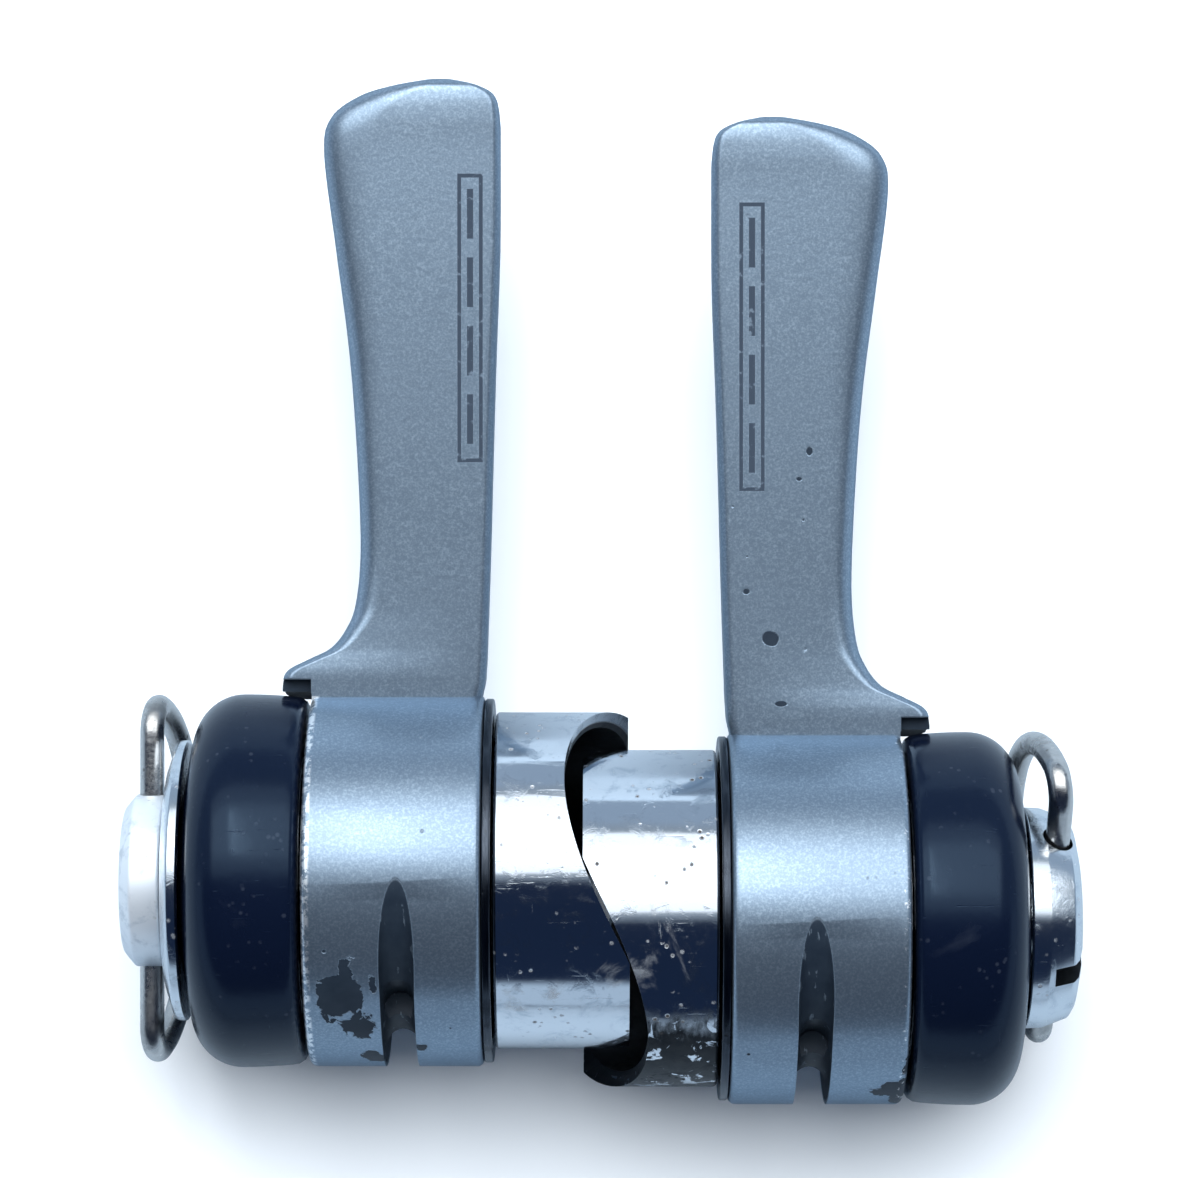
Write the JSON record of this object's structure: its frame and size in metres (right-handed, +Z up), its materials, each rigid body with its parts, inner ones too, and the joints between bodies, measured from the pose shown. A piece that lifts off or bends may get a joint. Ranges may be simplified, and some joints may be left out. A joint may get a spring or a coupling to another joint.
{
  "type": "pair of bicycle down-tube shift levers",
  "caption": "Pair of down-tube shift levers for brazed-on frame bosses, with saddle-cut chrome sleeves, dark round caps and folding bail bolts.",
  "frame": {"origin": "middle of the footprint, on the surface the pair lies on", "axes": "+X along the barrels to the right-hand unit, +Y towards the lever tips, +Z up from the surface"},
  "size_m": [0.064, 0.0676, 0.0246],
  "materials": {
    "lever_paint": "satin metallic blue-grey paint with chips",
    "cap_resin": "gloss navy black",
    "chrome": "bright, worn",
    "plate_steel": "satin, darkened",
    "wire_steel": "dull nickel plate",
    "inner_resin": "matt black resin",
    "spring_steel": "polished spring steel",
    "bronze": "sintered bronze",
    "seal_rubber": "matt"
  },
  "bodies": {
    "left_unit": {"left_boss_sleeve": "chrome", "left_stop_plate": "plate_steel", "left_inner_washer": "inner_resin", "left_pivot_hub": "plate_steel", "left_pivot_bush": "bronze", "left_pressure_plate": "plate_steel", "left_domed_washer": "chrome", "left_spring_washer": "spring_steel", "left_cap": "cap_resin", "left_seal_ring": "seal_rubber"},
    "left_lever_body": {"left_lever": "lever_paint", "left_friction_disc_inner": "inner_resin", "left_friction_disc_outer": "inner_resin"},
    "left_bolt_body": {"left_bolt": "chrome"},
    "left_bail_body": {"left_bail": "wire_steel"},
    "right_unit": {"right_boss_sleeve": "chrome", "right_stop_plate": "plate_steel", "right_inner_washer": "inner_resin", "right_pivot_hub": "plate_steel", "right_pivot_bush": "bronze", "right_ball_plate": "plate_steel", "right_detent_ball_front": "spring_steel", "right_detent_ball_back": "spring_steel", "right_spring_washer": "spring_steel", "right_cap": "cap_resin", "right_seal_ring": "seal_rubber"},
    "right_lever_body": {"right_lever": "lever_paint", "right_index_disc": "plate_steel"},
    "right_bolt_body": {"right_bolt": "chrome"},
    "right_bail_body": {"right_bail": "wire_steel"}
  },
  "joints": [
    {"name": "pair_parting", "type": "slide", "parent": "left_unit", "child": "right_unit", "axis": [0.9942, 0.1071, 0], "range_m": [0, 0.02333]},
    {"name": "left_lever_pivot", "type": "hinge", "parent": "left_unit", "child": "left_lever_body", "pos_m": [-0.0136, -0.01905, 0.01231], "axis": [1, 0, 0], "range_deg": [0, 105]},
    {"name": "right_lever_pivot", "type": "hinge", "parent": "right_unit", "child": "right_lever_body", "pos_m": [0.0142, -0.02155, 0.01231], "axis": [1, 0, 0], "range_deg": [0, 105]},
    {"name": "left_bolt_turn", "type": "hinge", "parent": "left_unit", "child": "left_bolt_body", "pos_m": [-0.0271, -0.01905, 0.01231], "axis": [-1, 0, 0], "range_deg": [0, 180]},
    {"name": "right_bolt_turn", "type": "hinge", "parent": "right_unit", "child": "right_bolt_body", "pos_m": [0.0277, -0.02155, 0.01231], "axis": [1, 0, 0], "range_deg": [0, 180]},
    {"name": "left_bail_fold", "type": "hinge", "parent": "left_bolt_body", "child": "left_bail_body", "pos_m": [-0.02975, -0.01905, 0.01231], "axis": [0, 1, 0], "range_deg": [0, 164]},
    {"name": "right_bail_fold", "type": "hinge", "parent": "right_bolt_body", "child": "right_bail_body", "pos_m": [0.02975, -0.02155, 0.01231], "axis": [0, -0.788, -0.6157], "range_deg": [0, 169]}
  ]
}
